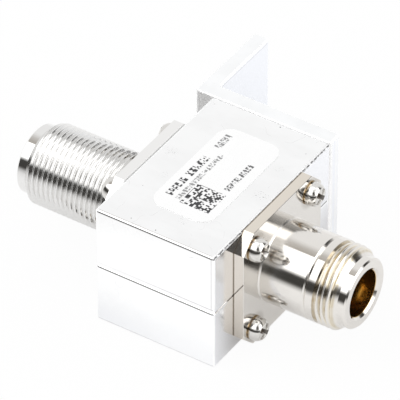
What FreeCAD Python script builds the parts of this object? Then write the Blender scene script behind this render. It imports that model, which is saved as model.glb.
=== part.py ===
import FreeCAD
import Part
import math
import os

# Coaxial lightning arrestor. Millimetres. X runs along the connector axis towards the equipment side,
# Y towards the mounting bracket, Z up. The origin is on the connector axis, in the outer face of the
# surge-side flange, where the long jack passes through a bulkhead.

# Housing: two stacked halves that meet on the connector axis
HOUSING_LENGTH = 25.0
HOUSING_WIDTH = 38.1
HALF_HEIGHT = 12.7
EDGE_ROUND = 0.6
SEAM_BREAK = 0.2
POCKET_END_WALL = 5.0
POCKET_BACK_REACH = 5.4
POCKET_DEPTH = 5.6
POCKET_CORNER_RADIUS = 1.5
FIT_CLEARANCE = 0.03

# Label on the top face
LABEL_LENGTH = 12.7
LABEL_WIDTH = 25.4
LABEL_THICKNESS = 0.12
LABEL_CORNER_RADIUS = 3.0
LABEL_OFFSET_X = 0.4
LABEL_OFFSET_Y = 0.45

# Square flange of each jack
FLANGE_SIDE = 25.4
FLANGE_THICKNESS = 2.1
FLANGE_CORNER_CUT = 3.2
FLANGE_HOLE_DIAMETER = 3.2
FLANGE_HOLE_SPACING = 18.26
FLANGE_EDGE_BREAK = 0.15

# Coaxial interface, the same on both jacks
THREAD_DIAMETER = 15.875
LIP_DIAMETER = 13.4
LIP_ROUND = 0.3
MATING_BORE_DIAMETER = 9.0
MATING_BORE_DEPTH = 9.1
MOUTH_CHAMFER = 0.45
LINE_BORE_DIAMETER = 7.0
AIR_LINE_LENGTH = 3.0
DIELECTRIC_DIAMETER = 8.0
SPIGOT_DIAMETER = 12.0
SPIGOT_LENGTH = 2.6
BASE_FILLET = 0.25

# Long jack, surge side: threaded from the outer face of its flange to its lip
SURGE_REACH = 23.65
SURGE_LIP_LENGTH = 1.95

# Short jack, equipment side: plain barrel, groove, collar, undercut, thread and lip
EQUIPMENT_REACH = 17.1
EQUIPMENT_LIP_LENGTH = 1.65
BARREL_DIAMETER = 15.875
BARREL_LENGTH = 8.9
GROOVE_WIDTH = 0.7
GROOVE_DEPTH = 0.35
COLLAR_LENGTH = 1.4
UNDERCUT_DIAMETER = 14.9
UNDERCUT_WIDTH = 0.5
UNDERCUT_RAMP = 0.3

# Centre contact: slotted socket in front, line pin behind
CONTACT_DIAMETER = 3.04
CONTACT_SETBACK = 4.0
CONTACT_TIP_CHAMFER = 0.25
SOCKET_DIAMETER = 1.7
SOCKET_DEPTH = 4.6
SLOT_WIDTH = 0.3
SLOT_LENGTH = 3.6
LINE_PIN_DIAMETER = 2.4

# Series capacitor in the line, beside the coil
CERAMIC_DISC_DIAMETER = 8.0
CERAMIC_DISC_THICKNESS = 1.8
PLATE_DIAMETER = 7.0
PLATE_THICKNESS = 0.6
PLATE_HUB_DIAMETER = 3.6
PLATE_HUB_LENGTH = 1.3
PLATE_HUB_GAP = 0.2

# Gas discharge tube and its coil, from the surge-side line pin towards the front wall
TUBE_DIAMETER = 8.0
TUBE_SIDE_GAP = 0.1
TUBE_CERAMIC_LENGTH = 4.4
TUBE_CERAMIC_BORE = 5.0
ELECTRODE_THICKNESS = 0.8
ELECTRODE_BOSS_DIAMETER = 3.4
DISCHARGE_GAP = 1.0
COIL_WIRE_DIAMETER = 0.6
COIL_WIRE_SIDES = 8
COIL_DIAMETER = 2.8
COIL_TURNS = 3.5
COIL_PITCH = 0.9
SPRING_HEIGHT = 2.2
SPRING_SMALL_DIAMETER = 2.4
SPRING_LARGE_DIAMETER = 5.6
SPRING_WALL = 0.45

# Screws in the flanges: cheese head with a domed top and a cross recess
FLANGE_SCREW_DIAMETER = 2.84
FLANGE_SCREW_ENGAGEMENT = 5.5
FLANGE_HEAD_DIAMETER = 4.6
FLANGE_HEAD_SIDE = 1.45
FLANGE_HEAD_DOME = 0.95
RECESS_WIDTH = 0.75
RECESS_LENGTH = 2.6
RECESS_DEPTH = 1.2
HOLE_END_CLEARANCE = 0.5
SCREW_TIP_CHAMFER = 0.3

# Mounting bracket: one angle, as tall as the housing
BRACKET_THICKNESS = 3.3
BRACKET_OVERHANG = 3.86
BRACKET_REACH = 19.9
BRACKET_ROUND = 0.7
BRACKET_EDGE_ROUND = 0.4
BRACKET_INNER_RADIUS = 0.8
MOUNTING_HOLE_DIAMETER = 6.9

# Countersunk screws that hold the bracket
BRACKET_SCREW_DIAMETER = 2.84
BRACKET_SCREW_ENGAGEMENT = 5.5
BRACKET_HEAD_DIAMETER = 5.6
BRACKET_HEAD_HEIGHT = 1.7
BRACKET_SCREW_SPACING_X = 11.0
BRACKET_SCREW_SPACING_Z = 12.7
BRACKET_HOLE_CLEARANCE = 0.15

# Cap screws that close the housing from below
CLOSING_SCREW_DIAMETER = 2.18
CLOSING_SCREW_ENGAGEMENT = 6.0
CLOSING_HEAD_DIAMETER = 3.56
CLOSING_HEAD_HEIGHT = 2.18
CLOSING_HEX_ACROSS_FLATS = 1.98
CLOSING_HEX_DEPTH = 1.1
CLOSING_EDGE_X = 2.9
CLOSING_EDGE_Y = 3.05
COUNTERBORE_CLEARANCE = 0.2
COUNTERBORE_DEPTH = 2.7
CLOSING_HOLE_CLEARANCE = 0.11

# Dowel pins that line the halves up
DOWEL_DIAMETER = 2.0
DOWEL_LENGTH = 8.0
DOWEL_EDGE_Y = 2.6
DOWEL_CHAMFER = 0.2

# Places that follow from the sizes above
HOUSING_X0 = FLANGE_THICKNESS
HOUSING_X1 = HOUSING_X0 + HOUSING_LENGTH
HOUSING_MIDDLE = (HOUSING_X0 + HOUSING_X1) / 2
EQUIPMENT_FACE_X = HOUSING_X1 + FLANGE_THICKNESS
HOUSING_BACK_Y = HOUSING_WIDTH / 2
POCKET_X0 = HOUSING_X0 + POCKET_END_WALL
POCKET_X1 = HOUSING_X1 - POCKET_END_WALL
PLATE_OUTER_OFFSET = CERAMIC_DISC_THICKNESS / 2 + PLATE_THICKNESS
LINE_PIN_RADIUS = LINE_PIN_DIAMETER / 2
TUBE_WALL_DISTANCE = max(TUBE_DIAMETER / 2, POCKET_CORNER_RADIUS + SPRING_LARGE_DIAMETER / 2)
TUBE_X = POCKET_X0 + TUBE_WALL_DISTANCE + TUBE_SIDE_GAP
COIL_SIDE_X = TUBE_X + (COIL_DIAMETER + COIL_WIRE_DIAMETER) / 2
CAPACITOR_X = COIL_SIDE_X + PLATE_HUB_GAP + PLATE_HUB_LENGTH + PLATE_OUTER_OFFSET
CLOSING_SPACING_X = HOUSING_LENGTH - 2 * CLOSING_EDGE_X
CLOSING_SPACING_Y = HOUSING_WIDTH - 2 * CLOSING_EDGE_Y
DOWEL_SPACING = HOUSING_WIDTH - 2 * DOWEL_EDGE_Y
COIL_LENGTH = COIL_TURNS * COIL_PITCH
COIL_START_Y = -LINE_PIN_RADIUS - COIL_WIRE_DIAMETER / 2
TUBE_START_Y = COIL_START_Y - COIL_LENGTH - COIL_WIRE_DIAMETER / 2
TUBE_LENGTH = TUBE_CERAMIC_LENGTH + 2 * ELECTRODE_THICKNESS
TUBE_END_Y = TUBE_START_Y - TUBE_LENGTH
POCKET_FRONT_Y = TUBE_END_Y - SPRING_HEIGHT
BRACKET_X0 = HOUSING_X0 - BRACKET_OVERHANG
BRACKET_BACK_Y = HOUSING_BACK_Y + BRACKET_THICKNESS
BRACKET_END_Y = HOUSING_BACK_Y + BRACKET_REACH
MOUNTING_HOLE_Y = (BRACKET_BACK_Y + BRACKET_END_Y) / 2

AXIS_X = FreeCAD.Vector(1, 0, 0)
SURGE = FreeCAD.Vector(-1, 0, 0)
EQUIPMENT = AXIS_X
FRONT = FreeCAD.Vector(0, -1, 0)
BACK = FreeCAD.Vector(0, 1, 0)
UP = FreeCAD.Vector(0, 0, 1)
DOWN = FreeCAD.Vector(0, 0, -1)


def point(x, y, z):
    return FreeCAD.Vector(x, y, z)


def placed(shape, position, direction):
    """A copy of a shape built along +X, turned to a direction and moved to a position."""
    copy = shape.copy()
    copy.Placement = FreeCAD.Placement(position, FreeCAD.Rotation(AXIS_X, direction))
    return copy


def turned(outline):
    """A solid turned about the X axis from a closed outline of (x, radius) corners."""
    corners = [point(x, 0, radius) for x, radius in outline + outline[:1]]
    return Part.Face(Part.makePolygon(corners)).revolve(point(0, 0, 0), AXIS_X, 360)


def rod(radius, x0, x1):
    """A plain round bar along X."""
    return Part.makeCylinder(radius, x1 - x0, point(x0, 0, 0), AXIS_X)


def prism(corners, start, extrusion):
    """A straight solid from (y, z) corners in the plane x = start."""
    wire = Part.makePolygon([point(start, y, z) for y, z in corners + corners[:1]])
    return Part.Face(wire).extrude(extrusion)


def edges_along(shape, axis, keep=None):
    """The straight edges that run along one axis (0, 1 or 2), with an optional test on their centre."""
    found = []
    for edge in shape.Edges:
        box = edge.BoundBox
        spans = [box.XLength, box.YLength, box.ZLength]
        others = [span for index, span in enumerate(spans) if index != axis]
        if max(others) > 0.001 or spans[axis] < 0.001:
            continue
        if keep is None or keep(edge.CenterOfMass):
            found.append(edge)
    return found


def four_places(spacing_a, spacing_b):
    """The corners of a rectangle about the origin, in the two directions of a face."""
    return [(a * spacing_a / 2, b * spacing_b / 2) for a in (-1, 1) for b in (-1, 1)]


def group(shapes):
    return Part.makeCompound(shapes)


def cross_recess(top):
    """The two crossed slots of a recess, cut down from x = top along -X."""
    half_length = RECESS_LENGTH / 2
    half_width = RECESS_WIDTH / 2
    height = RECESS_DEPTH + FLANGE_HEAD_DOME
    upright = Part.makeBox(height, RECESS_WIDTH, RECESS_LENGTH,
                           point(top - RECESS_DEPTH, -half_width, -half_length))
    level = Part.makeBox(height, RECESS_LENGTH, RECESS_WIDTH,
                         point(top - RECESS_DEPTH, -half_length, -half_width))
    return upright.fuse(level)


def cheese_head_screw(length):
    """A flange screw seated at x = 0 with its shank along -X and its domed head along +X."""
    head_radius = FLANGE_HEAD_DIAMETER / 2
    shank_radius = FLANGE_SCREW_DIAMETER / 2
    top = FLANGE_HEAD_SIDE + FLANGE_HEAD_DOME
    dome_radius = (head_radius ** 2 + FLANGE_HEAD_DOME ** 2) / (2 * FLANGE_HEAD_DOME)
    half_angle = math.asin(head_radius / dome_radius) / 2
    dome_centre = top - dome_radius
    dome_middle = point(dome_centre + dome_radius * math.cos(half_angle), 0,
                        dome_radius * math.sin(half_angle))
    corners = [
        point(top, 0, 0),
        point(-length, 0, 0),
        point(-length, 0, shank_radius - SCREW_TIP_CHAMFER),
        point(-length + SCREW_TIP_CHAMFER, 0, shank_radius),
        point(0, 0, shank_radius),
        point(0, 0, head_radius),
        point(FLANGE_HEAD_SIDE, 0, head_radius),
    ]
    edges = [Part.LineSegment(a, b).toShape() for a, b in zip(corners, corners[1:])]
    edges.append(Part.Arc(corners[-1], dome_middle, corners[0]).toShape())
    screw = Part.Face(Part.Wire(edges)).revolve(point(0, 0, 0), AXIS_X, 360)
    return screw.cut(cross_recess(top))


def countersunk_screw(length):
    """A bracket screw with its flat head flush at x = 0 and its shank along -X."""
    head_radius = BRACKET_HEAD_DIAMETER / 2
    shank_radius = BRACKET_SCREW_DIAMETER / 2
    screw = turned([
        (0, 0),
        (-length, 0),
        (-length, shank_radius - SCREW_TIP_CHAMFER),
        (-length + SCREW_TIP_CHAMFER, shank_radius),
        (-BRACKET_HEAD_HEIGHT, shank_radius),
        (0, head_radius),
    ])
    return screw.cut(cross_recess(0))


def cap_screw(length):
    """A closing screw seated at x = 0 with its shank along -X and its hexagon socket in the head."""
    head_radius = CLOSING_HEAD_DIAMETER / 2
    shank_radius = CLOSING_SCREW_DIAMETER / 2
    screw = turned([
        (CLOSING_HEAD_HEIGHT, 0),
        (-length, 0),
        (-length, shank_radius - SCREW_TIP_CHAMFER),
        (-length + SCREW_TIP_CHAMFER, shank_radius),
        (0, shank_radius),
        (0, head_radius),
        (CLOSING_HEAD_HEIGHT, head_radius),
    ])
    across_corners = CLOSING_HEX_ACROSS_FLATS / math.sqrt(3)
    corners = [
        (across_corners * math.cos(math.radians(60 * step)), across_corners * math.sin(math.radians(60 * step)))
        for step in range(6)
    ]
    socket = prism(corners, CLOSING_HEAD_HEIGHT - CLOSING_HEX_DEPTH, point(CLOSING_HEX_DEPTH, 0, 0))
    return screw.cut(socket)


def housing_block(z0):
    """One plain half of the housing with its outer edges rounded, standing on z = z0."""
    block = Part.makeBox(HOUSING_LENGTH, HOUSING_WIDTH, HALF_HEIGHT,
                         point(HOUSING_X0, -HOUSING_WIDTH / 2, z0))
    if z0 < 0:
        return block.makeFillet(EDGE_ROUND, block.Edges)
    outer = edges_along(block, 2)
    outer += edges_along(block, 0, lambda centre: centre.z > SEAM_BREAK)
    outer += edges_along(block, 1, lambda centre: centre.z > SEAM_BREAK)
    block = block.makeFillet(EDGE_ROUND, outer)
    seam = [edge for edge in block.Edges if edge.BoundBox.ZMax < SEAM_BREAK / 2]
    return block.makeFillet(SEAM_BREAK, seam)


def milled_pocket(z0):
    """The half of the inner chamber that one half of the housing holds."""
    pocket = Part.makeBox(POCKET_X1 - POCKET_X0, POCKET_BACK_REACH - POCKET_FRONT_Y, POCKET_DEPTH,
                          point(POCKET_X0, POCKET_FRONT_Y, z0))
    return pocket.makeFillet(POCKET_CORNER_RADIUS, edges_along(pocket, 2))


def line_bores():
    """The stepped bore along X that takes the spigot and the dielectric of both jacks."""
    step = SPIGOT_LENGTH + FIT_CLEARANCE
    spigot_radius = SPIGOT_DIAMETER / 2 + FIT_CLEARANCE
    passage = rod(DIELECTRIC_DIAMETER / 2 + FIT_CLEARANCE, HOUSING_X0, HOUSING_X1)
    left = rod(spigot_radius, HOUSING_X0, HOUSING_X0 + step)
    right = rod(spigot_radius, HOUSING_X1 - step, HOUSING_X1)
    return [passage, left, right]


def flange_screw_holes(side):
    """Tapped blind holes for the flange screws in the half above (side 1) or below (side -1) the seam."""
    radius = FLANGE_SCREW_DIAMETER / 2 + FIT_CLEARANCE
    depth = FLANGE_SCREW_ENGAGEMENT + HOLE_END_CLEARANCE
    offset = FLANGE_HOLE_SPACING / 2
    holes = []
    for y in (-offset, offset):
        for x0 in (HOUSING_X0, HOUSING_X1 - depth):
            holes.append(Part.makeCylinder(radius, depth, point(x0, y, side * offset), AXIS_X))
    return holes


def bracket_screw_holes(side):
    """Tapped blind holes in the back face for the bracket screws of one half."""
    radius = BRACKET_SCREW_DIAMETER / 2 + FIT_CLEARANCE
    depth = BRACKET_SCREW_ENGAGEMENT + HOLE_END_CLEARANCE
    z = side * BRACKET_SCREW_SPACING_Z / 2
    holes = []
    for direction in (-1, 1):
        x = HOUSING_MIDDLE + direction * BRACKET_SCREW_SPACING_X / 2
        holes.append(Part.makeCylinder(radius, depth, point(x, HOUSING_BACK_Y, z), FRONT))
    return holes


def dowel_holes():
    radius = DOWEL_DIAMETER / 2 + FIT_CLEARANCE
    depth = DOWEL_LENGTH + 2 * FIT_CLEARANCE
    return [Part.makeCylinder(radius, depth, point(HOUSING_MIDDLE, y, -depth / 2), UP)
            for y in (-DOWEL_SPACING / 2, DOWEL_SPACING / 2)]


def closing_screw_places():
    return [(HOUSING_MIDDLE + x, y) for x, y in four_places(CLOSING_SPACING_X, CLOSING_SPACING_Y)]


def housing_upper():
    holes = line_bores() + flange_screw_holes(1) + bracket_screw_holes(1) + dowel_holes()
    tapped_radius = CLOSING_SCREW_DIAMETER / 2 + FIT_CLEARANCE
    tapped_depth = CLOSING_SCREW_ENGAGEMENT + HOLE_END_CLEARANCE
    for x, y in closing_screw_places():
        holes.append(Part.makeCylinder(tapped_radius, tapped_depth, point(x, y, 0), UP))
    return housing_block(0).cut([milled_pocket(0)] + holes)


def housing_lower():
    holes = line_bores() + flange_screw_holes(-1) + bracket_screw_holes(-1) + dowel_holes()
    clear_radius = CLOSING_SCREW_DIAMETER / 2 + CLOSING_HOLE_CLEARANCE
    counterbore_radius = CLOSING_HEAD_DIAMETER / 2 + COUNTERBORE_CLEARANCE
    for x, y in closing_screw_places():
        foot = point(x, y, -HALF_HEIGHT)
        holes.append(Part.makeCylinder(clear_radius, HALF_HEIGHT, foot, UP))
        holes.append(Part.makeCylinder(counterbore_radius, COUNTERBORE_DEPTH, foot, UP))
    return housing_block(-HALF_HEIGHT).cut([milled_pocket(-POCKET_DEPTH)] + holes)


def label():
    corner = point(HOUSING_MIDDLE + LABEL_OFFSET_X - LABEL_LENGTH / 2,
                   LABEL_OFFSET_Y - LABEL_WIDTH / 2, HALF_HEIGHT)
    sheet = Part.makeBox(LABEL_LENGTH, LABEL_WIDTH, LABEL_THICKNESS, corner)
    return sheet.makeFillet(LABEL_CORNER_RADIUS, edges_along(sheet, 2))


def dowel_pins():
    radius = DOWEL_DIAMETER / 2
    half = DOWEL_LENGTH / 2
    pin = turned([
        (-half, 0),
        (half, 0),
        (half, radius - DOWEL_CHAMFER),
        (half - DOWEL_CHAMFER, radius),
        (-half + DOWEL_CHAMFER, radius),
        (-half, radius - DOWEL_CHAMFER),
    ])
    return group([placed(pin, point(HOUSING_MIDDLE, y, 0), UP)
                  for y in (-DOWEL_SPACING / 2, DOWEL_SPACING / 2)])


def closing_screws():
    seat_z = -HALF_HEIGHT + COUNTERBORE_DEPTH
    screw = cap_screw(HALF_HEIGHT - COUNTERBORE_DEPTH + CLOSING_SCREW_ENGAGEMENT)
    return group([placed(screw, point(x, y, seat_z), DOWN) for x, y in closing_screw_places()])


def flange():
    """The square flange of a jack, outer face at x = 0, with its corners cut and its holes drilled."""
    half = FLANGE_SIDE / 2
    near = half - FLANGE_CORNER_CUT
    corners = [(half, near), (near, half), (-near, half), (-half, near),
               (-half, -near), (-near, -half), (near, -half), (half, -near)]
    plate = prism(corners, -FLANGE_THICKNESS, point(FLANGE_THICKNESS, 0, 0))
    rim = [edge for edge in plate.Edges if edge.BoundBox.XMin > -FLANGE_EDGE_BREAK]
    plate = plate.makeChamfer(FLANGE_EDGE_BREAK, rim)
    holes = [Part.makeCylinder(FLANGE_HOLE_DIAMETER / 2, FLANGE_THICKNESS,
                               point(-FLANGE_THICKNESS, y, z), AXIS_X)
             for y, z in four_places(FLANGE_HOLE_SPACING, FLANGE_HOLE_SPACING)]
    return plate.cut(holes)


def jack_bore(reach):
    """The inside of a jack: chamfered mouth, mating bore, air line and the seat of the dielectric."""
    mating_radius = MATING_BORE_DIAMETER / 2
    line_radius = LINE_BORE_DIAMETER / 2
    seat_radius = DIELECTRIC_DIAMETER / 2
    shoulder = reach - MATING_BORE_DEPTH
    seat = shoulder - AIR_LINE_LENGTH
    rear = -FLANGE_THICKNESS - SPIGOT_LENGTH
    return turned([
        (rear, 0),
        (rear, seat_radius),
        (seat, seat_radius),
        (seat, line_radius),
        (shoulder, line_radius),
        (shoulder, mating_radius),
        (reach - MOUTH_CHAMFER, mating_radius),
        (reach, mating_radius + MOUTH_CHAMFER),
        (reach, 0),
    ])


def jack_front(reach, lip_length):
    """Outline corners of the thread's end, its 45 degree lead and the lip, out to the front face."""
    thread_radius = THREAD_DIAMETER / 2
    lip_radius = LIP_DIAMETER / 2
    lip_start = reach - lip_length
    return [
        (lip_start - (thread_radius - lip_radius), thread_radius),
        (lip_start, lip_radius),
        (reach - LIP_ROUND, lip_radius),
        (reach, lip_radius - LIP_ROUND),
        (reach, 0),
    ]


def jack_body(barrel, reach, lip_length):
    """One jack from its spigot to its lip, fused with the flange and bored, outer flange face at x = 0."""
    spigot_radius = SPIGOT_DIAMETER / 2
    rear = -FLANGE_THICKNESS - SPIGOT_LENGTH
    outline = [(rear, 0), (rear, spigot_radius), (-FLANGE_THICKNESS, spigot_radius)]
    outline += barrel + jack_front(reach, lip_length)
    return turned(outline).fuse(flange()).removeSplitter().cut(jack_bore(reach))


def surge_connector_body():
    barrel = [(-FLANGE_THICKNESS, THREAD_DIAMETER / 2)]
    return placed(jack_body(barrel, SURGE_REACH, SURGE_LIP_LENGTH), point(0, 0, 0), SURGE)


def equipment_connector_body():
    barrel_radius = BARREL_DIAMETER / 2
    thread_radius = THREAD_DIAMETER / 2
    undercut_radius = UNDERCUT_DIAMETER / 2
    collar_start = BARREL_LENGTH + GROOVE_WIDTH
    collar_end = collar_start + COLLAR_LENGTH
    thread_start = collar_end + UNDERCUT_WIDTH
    barrel = [
        (-FLANGE_THICKNESS, barrel_radius + BASE_FILLET),
        (0, barrel_radius + BASE_FILLET),
        (BASE_FILLET, barrel_radius),
        (BARREL_LENGTH, barrel_radius),
        (BARREL_LENGTH + GROOVE_WIDTH / 2, barrel_radius - GROOVE_DEPTH),
        (collar_start, barrel_radius),
        (collar_end, barrel_radius),
        (collar_end, undercut_radius),
        (thread_start, undercut_radius),
        (thread_start + UNDERCUT_RAMP, thread_radius),
    ]
    body = jack_body(barrel, EQUIPMENT_REACH, EQUIPMENT_LIP_LENGTH)
    return placed(body, point(EQUIPMENT_FACE_X, 0, 0), EQUIPMENT)


def dielectric(reach):
    """The insulating sleeve of a jack, from the chamber wall to the end of the air line."""
    rear = -FLANGE_THICKNESS - POCKET_END_WALL
    front = reach - MATING_BORE_DEPTH - AIR_LINE_LENGTH
    sleeve = rod(DIELECTRIC_DIAMETER / 2, rear, front)
    return sleeve.cut(rod(LINE_PIN_RADIUS + FIT_CLEARANCE, rear, front))


def contact(reach, line_end):
    """The centre contact of a jack: socket with four spring fingers, then the pin back to x = line_end."""
    radius = CONTACT_DIAMETER / 2
    tip = reach - CONTACT_SETBACK
    seat = reach - MATING_BORE_DEPTH - AIR_LINE_LENGTH
    body = turned([
        (line_end, 0),
        (line_end, LINE_PIN_RADIUS),
        (seat, LINE_PIN_RADIUS),
        (seat, radius),
        (tip - CONTACT_TIP_CHAMFER, radius),
        (tip, radius - CONTACT_TIP_CHAMFER),
        (tip, 0),
    ])
    socket = rod(SOCKET_DIAMETER / 2, tip - SOCKET_DEPTH, tip)
    slot_x = tip - SLOT_LENGTH
    upright = Part.makeBox(SLOT_LENGTH, SLOT_WIDTH, CONTACT_DIAMETER,
                           point(slot_x, -SLOT_WIDTH / 2, -radius))
    level = Part.makeBox(SLOT_LENGTH, CONTACT_DIAMETER, SLOT_WIDTH,
                         point(slot_x, -radius, -SLOT_WIDTH / 2))
    return body.cut([socket, upright, level])


def surge_contact():
    line_end = -(CAPACITOR_X - PLATE_OUTER_OFFSET)
    return placed(contact(SURGE_REACH, line_end), point(0, 0, 0), SURGE)


def equipment_contact():
    line_end = CAPACITOR_X + PLATE_OUTER_OFFSET - EQUIPMENT_FACE_X
    return placed(contact(EQUIPMENT_REACH, line_end), point(EQUIPMENT_FACE_X, 0, 0), EQUIPMENT)


def flange_screws(face_x, direction):
    screw = cheese_head_screw(FLANGE_THICKNESS + FLANGE_SCREW_ENGAGEMENT)
    return group([placed(screw, point(face_x, y, z), direction)
                  for y, z in four_places(FLANGE_HOLE_SPACING, FLANGE_HOLE_SPACING)])


def capacitor_disc():
    half = CERAMIC_DISC_THICKNESS / 2
    return rod(CERAMIC_DISC_DIAMETER / 2, CAPACITOR_X - half, CAPACITOR_X + half)


def capacitor_plates():
    """Two metal plates on the ceramic disc, each with a hub that holds the end of a line pin."""
    plate_radius = PLATE_DIAMETER / 2
    hub_radius = PLATE_HUB_DIAMETER / 2
    pin_radius = LINE_PIN_RADIUS + FIT_CLEARANCE
    hub_end = PLATE_THICKNESS + PLATE_HUB_LENGTH
    plate = turned([
        (0, 0),
        (0, plate_radius),
        (PLATE_THICKNESS, plate_radius),
        (PLATE_THICKNESS, hub_radius),
        (hub_end, hub_radius),
        (hub_end, pin_radius),
        (PLATE_THICKNESS, pin_radius),
        (PLATE_THICKNESS, 0),
    ])
    half = CERAMIC_DISC_THICKNESS / 2
    return group([placed(plate, point(CAPACITOR_X - half, 0, 0), SURGE),
                  placed(plate, point(CAPACITOR_X + half, 0, 0), EQUIPMENT)])


def gas_tube_body():
    ring = rod(TUBE_DIAMETER / 2, 0, TUBE_CERAMIC_LENGTH)
    ring = ring.cut(rod(TUBE_CERAMIC_BORE / 2, 0, TUBE_CERAMIC_LENGTH))
    return placed(ring, point(TUBE_X, TUBE_START_Y - ELECTRODE_THICKNESS, 0), FRONT)


def gas_tube_electrodes():
    """Two end caps whose bosses face each other across the discharge gap inside the ceramic ring."""
    boss_end = ELECTRODE_THICKNESS + (TUBE_CERAMIC_LENGTH - DISCHARGE_GAP) / 2
    cap = turned([
        (0, 0),
        (0, TUBE_DIAMETER / 2),
        (ELECTRODE_THICKNESS, TUBE_DIAMETER / 2),
        (ELECTRODE_THICKNESS, ELECTRODE_BOSS_DIAMETER / 2),
        (boss_end, ELECTRODE_BOSS_DIAMETER / 2),
        (boss_end, 0),
    ])
    return group([placed(cap, point(TUBE_X, TUBE_START_Y, 0), FRONT),
                  placed(cap, point(TUBE_X, TUBE_END_Y, 0), BACK)])


def tube_coil():
    """The coil from the line pin to the near electrode of the tube, its thin wire drawn with flat sides."""
    coil_radius = COIL_DIAMETER / 2
    wire_radius = COIL_WIRE_DIAMETER / 2
    helix = Part.makeHelix(COIL_PITCH, COIL_LENGTH, coil_radius)
    corners = []
    for side in range(COIL_WIRE_SIDES + 1):
        angle = 2 * math.pi * side / COIL_WIRE_SIDES
        corners.append(point(coil_radius + wire_radius * math.cos(angle), 0, wire_radius * math.sin(angle)))
    coil = Part.Wire(helix).makePipeShell([Part.makePolygon(corners)], True, True)
    coil.Placement = FreeCAD.Placement(point(TUBE_X, COIL_START_Y, 0), FreeCAD.Rotation(UP, FRONT))
    return coil


def ground_spring():
    """A dished spring washer that presses the far electrode against the front wall of the chamber."""
    small = SPRING_SMALL_DIAMETER / 2
    large = SPRING_LARGE_DIAMETER / 2
    washer = turned([
        (0, small),
        (0, small + SPRING_WALL),
        (SPRING_HEIGHT, large),
        (SPRING_HEIGHT, large - SPRING_WALL),
    ])
    return placed(washer, point(TUBE_X, TUBE_END_Y, 0), FRONT)


def mounting_bracket():
    """The angle on the back: one leg on the housing, the other at the surge end with a mounting hole."""
    corners = [
        (BRACKET_X0, HOUSING_BACK_Y),
        (HOUSING_X1, HOUSING_BACK_Y),
        (HOUSING_X1, BRACKET_BACK_Y),
        (BRACKET_X0 + BRACKET_THICKNESS, BRACKET_BACK_Y),
        (BRACKET_X0 + BRACKET_THICKNESS, BRACKET_END_Y),
        (BRACKET_X0, BRACKET_END_Y),
    ]
    wire = Part.makePolygon([point(x, y, -HALF_HEIGHT) for x, y in corners + corners[:1]])
    angle = Part.Face(wire).extrude(point(0, 0, 2 * HALF_HEIGHT))
    inner_x = BRACKET_X0 + BRACKET_THICKNESS

    def is_inner(centre):
        return abs(centre.x - inner_x) < 0.001 and abs(centre.y - BRACKET_BACK_Y) < 0.001

    angle = angle.makeFillet(BRACKET_INNER_RADIUS, edges_along(angle, 2, is_inner))
    inner_zone = BRACKET_INNER_RADIUS + 0.001
    outer = edges_along(angle, 2, lambda centre: abs(centre.x - inner_x) > inner_zone
                        or abs(centre.y - BRACKET_BACK_Y) > inner_zone)
    angle = angle.makeFillet(BRACKET_ROUND, outer)
    ends = [edge for edge in angle.Edges if edge.BoundBox.ZLength < 0.001]
    angle = angle.makeFillet(BRACKET_EDGE_ROUND, ends)
    cuts = [Part.makeCylinder(MOUNTING_HOLE_DIAMETER / 2, BRACKET_THICKNESS,
                              point(BRACKET_X0, MOUNTING_HOLE_Y, 0), AXIS_X)]
    hole_radius = BRACKET_SCREW_DIAMETER / 2 + BRACKET_HOLE_CLEARANCE
    for x, z in bracket_screw_places():
        cuts.append(Part.makeCylinder(hole_radius, BRACKET_THICKNESS, point(x, HOUSING_BACK_Y, z), BACK))
        cuts.append(Part.makeCone(BRACKET_HEAD_DIAMETER / 2, BRACKET_SCREW_DIAMETER / 2,
                                  BRACKET_HEAD_HEIGHT, point(x, BRACKET_BACK_Y, z), FRONT))
    return angle.cut(cuts)


def bracket_screw_places():
    return [(HOUSING_MIDDLE + x, z)
            for x, z in four_places(BRACKET_SCREW_SPACING_X, BRACKET_SCREW_SPACING_Z)]


def bracket_screws():
    screw = countersunk_screw(BRACKET_THICKNESS + BRACKET_SCREW_ENGAGEMENT)
    return group([placed(screw, point(x, BRACKET_BACK_Y, z), BACK) for x, z in bracket_screw_places()])


def all_parts():
    return {
        "housing_upper": housing_upper(),
        "housing_lower": housing_lower(),
        "label": label(),
        "dowel_pins": dowel_pins(),
        "closing_screws": closing_screws(),
        "mounting_bracket": mounting_bracket(),
        "bracket_screws": bracket_screws(),
        "surge_connector_body": surge_connector_body(),
        "surge_dielectric": placed(dielectric(SURGE_REACH), point(0, 0, 0), SURGE),
        "surge_contact": surge_contact(),
        "surge_flange_screws": flange_screws(0, SURGE),
        "equipment_connector_body": equipment_connector_body(),
        "equipment_dielectric": placed(dielectric(EQUIPMENT_REACH), point(EQUIPMENT_FACE_X, 0, 0),
                                       EQUIPMENT),
        "equipment_contact": equipment_contact(),
        "equipment_flange_screws": flange_screws(EQUIPMENT_FACE_X, EQUIPMENT),
        "capacitor_disc": capacitor_disc(),
        "capacitor_plates": capacitor_plates(),
        "gas_tube_body": gas_tube_body(),
        "gas_tube_electrodes": gas_tube_electrodes(),
        "tube_coil": tube_coil(),
        "ground_spring": ground_spring(),
    }


os.makedirs("parts", exist_ok=True)
for name, shape in all_parts().items():
    print(name, len(shape.Solids), round(shape.Volume, 3), shape.isValid())
    shape.exportStep("parts/" + name + ".step")
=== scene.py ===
"""Looks of a coaxial surge arrestor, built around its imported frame. Lengths here are in millimetres."""
import math
import random

import bmesh
import bpy
from mathutils import Matrix, Vector


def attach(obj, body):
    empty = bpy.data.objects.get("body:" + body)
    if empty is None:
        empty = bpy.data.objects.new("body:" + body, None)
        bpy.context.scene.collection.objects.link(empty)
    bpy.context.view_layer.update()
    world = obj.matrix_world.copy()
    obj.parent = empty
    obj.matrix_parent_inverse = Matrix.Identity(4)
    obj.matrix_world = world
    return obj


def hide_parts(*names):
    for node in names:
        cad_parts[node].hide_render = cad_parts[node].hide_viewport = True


MM = 0.001

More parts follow.
